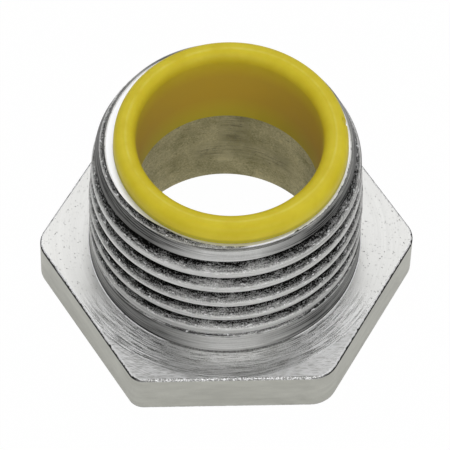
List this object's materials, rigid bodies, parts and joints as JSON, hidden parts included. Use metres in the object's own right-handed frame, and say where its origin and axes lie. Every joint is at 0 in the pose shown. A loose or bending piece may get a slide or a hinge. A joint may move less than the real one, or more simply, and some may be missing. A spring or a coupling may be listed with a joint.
{
  "type": "chase nipple",
  "caption": "Insulated steel chase nipple for conduit: a thin hexagonal head, a male pipe thread and a rounded plastic throat liner over the threaded end.",
  "frame": {"origin": "middle of the head's flat underside, on the bore's axis", "axes": "+Z along the bore from the head to the threaded end; -Y is the outward side of one flat of the hexagonal head"},
  "size_m": [0.0288, 0.0254, 0.0183],
  "materials": {
    "steel_body": "turned steel, bright zinc plated",
    "liner_plastic": "moulded yellow thermoplastic, satin"
  },
  "bodies": {
    "root": {"nipple_body": "steel_body", "throat_liner": "liner_plastic"}
  },
  "joints": []
}
